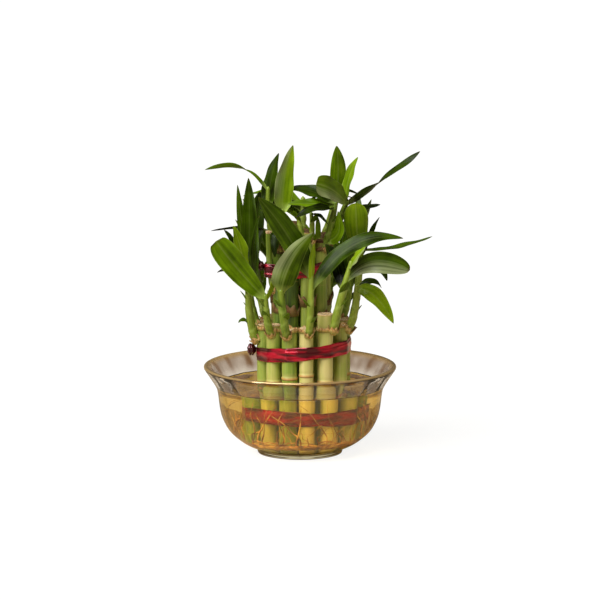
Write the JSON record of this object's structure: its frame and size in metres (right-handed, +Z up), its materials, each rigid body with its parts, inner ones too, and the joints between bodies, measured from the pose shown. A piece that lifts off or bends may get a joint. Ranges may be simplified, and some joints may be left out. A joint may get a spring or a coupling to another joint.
{
  "type": "lucky bamboo in a glass bowl",
  "caption": "Two tiers of cut bamboo-like canes with leafy shoots, tied upright with foil ribbon, standing in a flared clear glass bowl of water.",
  "frame": {"origin": "on the bowl's axis, at the flat underside of its foot", "axes": "+Z up along the bowl's axis, -Y towards the viewer of the front, +X to the viewer's right"},
  "size_m": [0.1665, 0.1487, 0.227],
  "materials": {
    "glass": "pressed clear glass with a slight warm tint, gloss",
    "water": "still water, slightly amber",
    "foil_ribbon": "red metallised film ribbon, creased, gloss",
    "roots": "fine orange-brown water roots, matt",
    "plant": "living cane and leaf: satin pale green canes, waxy dark green leaves"
  },
  "bodies": {
    "root": {"bowl": "glass", "water": "water", "roots": "roots", "ribbon_lower": "foil_ribbon", "ribbon_middle": "foil_ribbon", "ribbon_upper": "foil_ribbon", "stalk_outer_1": "plant", "stalk_outer_2": "plant", "stalk_outer_3": "plant", "stalk_outer_4": "plant", "stalk_outer_5": "plant", "stalk_outer_6": "plant", "stalk_outer_7": "plant", "stalk_outer_8": "plant", "stalk_outer_9": "plant", "stalk_outer_10": "plant", "stalk_outer_11": "plant", "stalk_outer_12": "plant", "stalk_outer_13": "plant", "stalk_inner_1": "plant", "stalk_inner_2": "plant", "stalk_inner_3": "plant", "stalk_inner_4": "plant", "stalk_inner_5": "plant", "stalk_inner_6": "plant", "stalk_inner_7": "plant", "stalk_inner_8": "plant", "stalk_inner_9": "plant", "stalk_core_1": "plant", "stalk_core_2": "plant", "stalk_core_3": "plant"}
  },
  "joints": []
}
